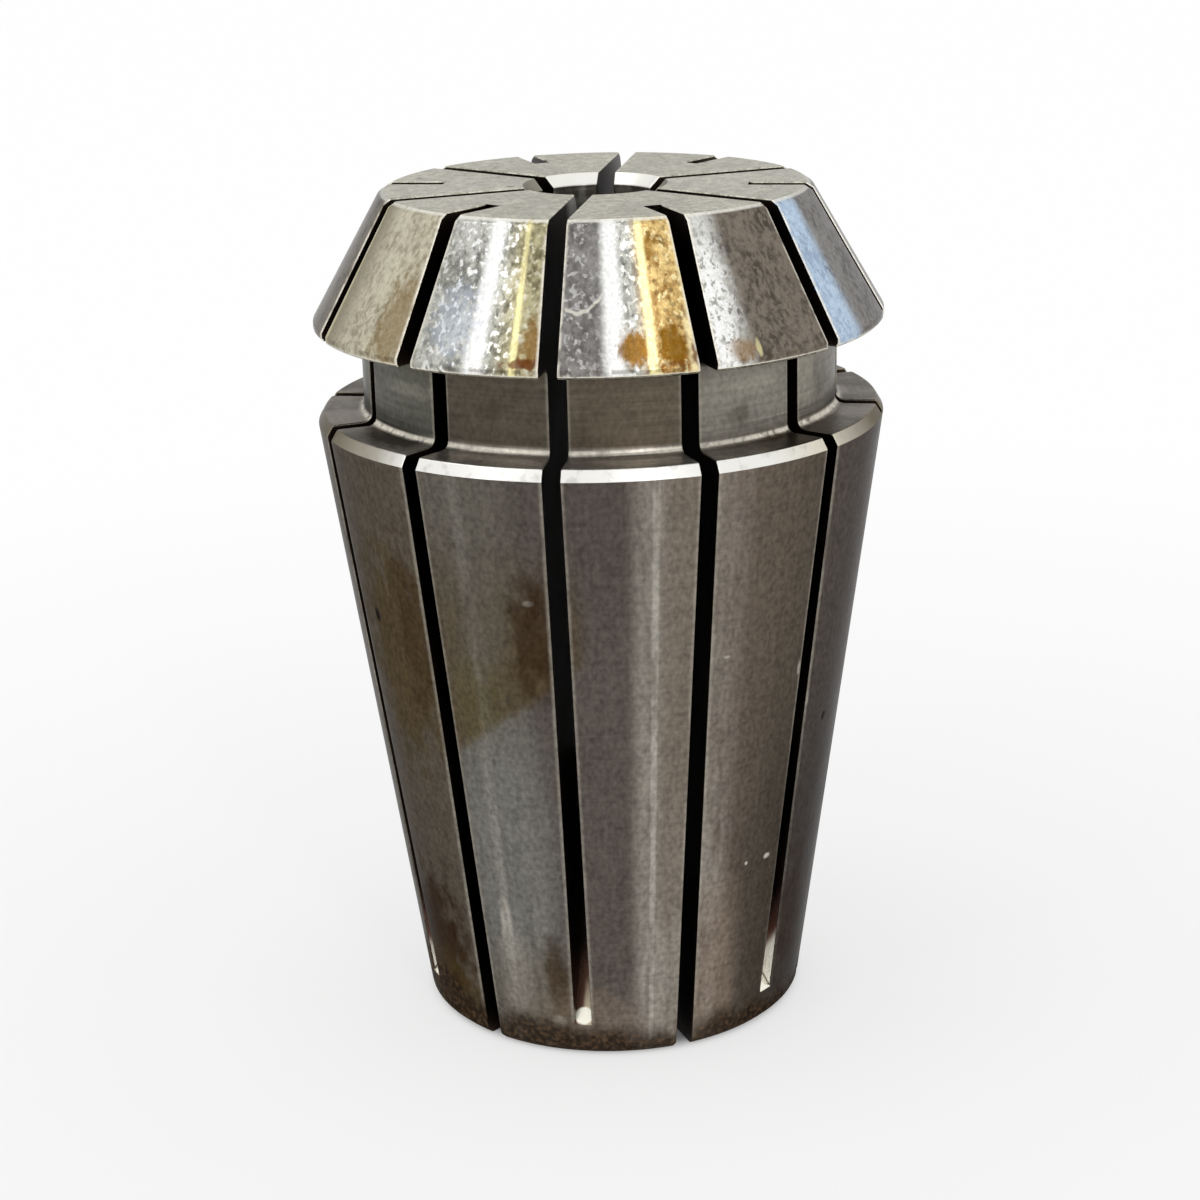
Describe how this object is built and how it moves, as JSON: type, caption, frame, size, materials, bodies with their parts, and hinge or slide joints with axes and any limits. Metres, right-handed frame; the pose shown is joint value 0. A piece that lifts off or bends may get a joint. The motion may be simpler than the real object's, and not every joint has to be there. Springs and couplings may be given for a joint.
{
  "type": "er collet",
  "caption": "Double-tapered spring collet, slotted from both ends, that closes on a round tool shank when a nut presses its nose cone.",
  "frame": {"origin": "centre of the tail face, on the collet's axis", "axes": "+Z along the axis from the tail to the nose; one slot that opens at the nose lies on -Y"},
  "size_m": [0.021, 0.021, 0.0315],
  "materials": {
    "steel": "satin ground spring steel, stained and handled"
  },
  "bodies": {
    "root": {"collet": "steel"}
  },
  "joints": []
}
